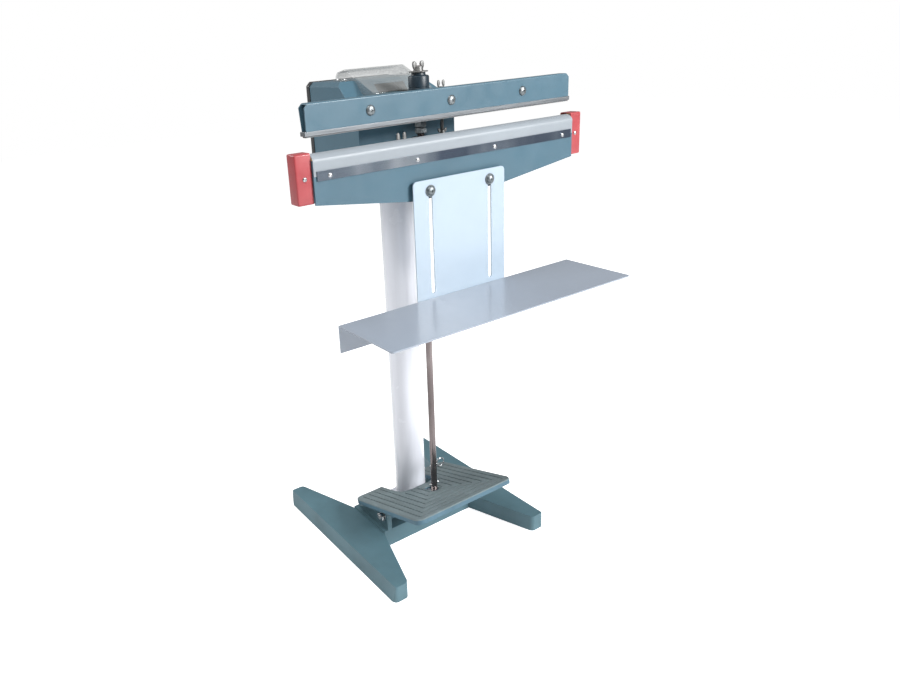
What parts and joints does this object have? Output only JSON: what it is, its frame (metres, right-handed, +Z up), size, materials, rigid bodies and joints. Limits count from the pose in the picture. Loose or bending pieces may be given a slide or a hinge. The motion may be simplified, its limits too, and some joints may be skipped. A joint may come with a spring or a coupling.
{
  "type": "foot pedal sealer",
  "caption": "Column-mounted impulse heat sealer: a foot pedal pulls a rod that closes a padded upper jaw on a heated lower jaw above a height-adjustable shelf.",
  "frame": {"origin": "on the floor under the column's axis, at the base bridge's floor pad", "axes": "+X to the operator's right along the jaws, +Y away from the operator, +Z up the column"},
  "size_m": [0.563, 0.507, 0.895],
  "materials": {
    "cast_paint": "satin blue-grey paint on a casting",
    "head_paint": "satin blue-grey paint",
    "column_paint": "glossy light grey paint",
    "arm_iron": "painted casting",
    "bright_steel": "plated",
    "jaw_bar_steel": "drawn bar",
    "clamp_steel": "polished strip",
    "shelf_steel": "light glossy coating",
    "bush_bronze": "turned bush",
    "black_moulding": "fine matte",
    "red_moulding": "glossy moulding",
    "clear_plastic": "clear",
    "holder_aluminium": "anodised strip",
    "pad_silicone": "matte silicone",
    "insulator": "laminate",
    "ribbon_metal": "resistance ribbon",
    "cloth": "coated glass cloth",
    "terminal_brass": "machined",
    "transformer_iron": "varnished laminations",
    "board": "circuit board"
  },
  "bodies": {
    "base": {"left_foot": "cast_paint", "right_foot": "cast_paint", "base_bridge": "cast_paint", "leg_bolts": "bright_steel", "column": "column_paint", "column_socket": "column_paint", "socket_bolts": "bright_steel", "pedal_axle": "bright_steel", "axle_nuts": "bright_steel", "column_head": "head_paint", "head_housing": "head_paint", "rear_cover": "black_moulding", "cord_gland": "black_moulding", "hinge_bracket": "head_paint", "hinge_shaft": "bright_steel", "shaft_collars": "bright_steel", "clear_hood": "clear_plastic", "hood_screws": "bright_steel", "lower_jaw": "head_paint", "jaw_insulator": "insulator", "heating_ribbon": "ribbon_metal", "jaw_cloth": "cloth", "front_clamp_strip": "clamp_steel", "rear_clamp_strip": "clamp_steel", "jaw_screws": "bright_steel", "terminal_blocks": "terminal_brass", "left_end_cap": "red_moulding", "right_end_cap": "red_moulding", "jaw_bracket": "head_paint", "bracket_bolts": "bright_steel", "cloth_wing_nut": "bright_steel", "shelf_bolts": "bright_steel", "transformer": "transformer_iron", "timer_board": "board", "switch_bezel": "black_moulding", "micro_switch": "black_moulding", "return_spring": "bright_steel"},
    "treadle": {"pedal": "cast_paint", "pedal_bushes": "bush_bronze"},
    "pressing_jaw": {"swing_arm": "arm_iron", "arm_bushes": "bush_bronze", "upper_jaw": "head_paint", "jaw_back_bar": "jaw_bar_steel", "jaw_bolts": "bright_steel", "pad_holder": "holder_aluminium", "pressing_pad": "pad_silicone"},
    "rod_set": {"pull_rod": "bright_steel", "rod_foot_nuts": "bright_steel", "rod_stop_nuts": "bright_steel", "rod_pins": "bright_steel", "pressure_sleeve": "black_moulding", "top_washer": "bright_steel"},
    "pressure_nut": {"wing_nut": "bright_steel"},
    "switch_adjuster": {"adjuster_screw": "bright_steel", "adjuster_lock": "bright_steel"},
    "shelf": {"slotted_plate": "shelf_steel", "bag_shelf": "shelf_steel", "shelf_rivets": "bright_steel"},
    "knob": {"timer_knob": "black_moulding"},
    "rocker": {"power_rocker": "red_moulding"}
  },
  "joints": [
    {"name": "jaw_swing", "type": "hinge", "parent": "base", "child": "pressing_jaw", "pos_m": [0, 0.075, 0.8], "axis": [1, 0, 0], "range_deg": [0, 4.95], "stiffness_Nm_per_rad": 40, "springref_deg": -22.92, "deforming": ["return_spring"]},
    {"name": "rod_swivel", "type": "hinge", "parent": "pressing_jaw", "child": "rod_set", "pos_m": [0, -0.079, 0.852], "axis": [1, 0, 0], "range_deg": [-5, 0]},
    {"name": "pressure_nut_turn", "type": "hinge", "parent": "rod_set", "child": "pressure_nut", "pos_m": [0, -0.079, 0.885], "axis": [0, 0, 1], "continuous": true},
    {"name": "pedal_swing", "type": "hinge", "parent": "base", "child": "treadle", "pos_m": [0, -0.04, 0.062], "axis": [1, 0, 0], "range_deg": [0, 18.6]},
    {"name": "shelf_slide", "type": "slide", "parent": "base", "child": "shelf", "axis": [0, 0, 1], "range_m": [0, 0.15]},
    {"name": "adjuster_turn", "type": "hinge", "parent": "pressing_jaw", "child": "switch_adjuster", "pos_m": [0.045, -0.079, 0.815], "axis": [0, 0, 1], "continuous": true},
    {"name": "timer_turn", "type": "hinge", "parent": "base", "child": "knob", "pos_m": [0.1, 0.052, 0.792], "axis": [1, 0, 0], "range_deg": [0, 270]},
    {"name": "rocker_tip", "type": "hinge", "parent": "base", "child": "rocker", "pos_m": [0.096, 0.0128, 0.792], "axis": [0, -1, 0], "range_deg": [0, 12]}
  ],
  "couplings": [
    {"joint": "rod_swivel", "follows": "jaw_swing", "ratio": -1},
    {"joint": "pedal_swing", "follows": "jaw_swing", "ratio": 3.74}
  ]
}
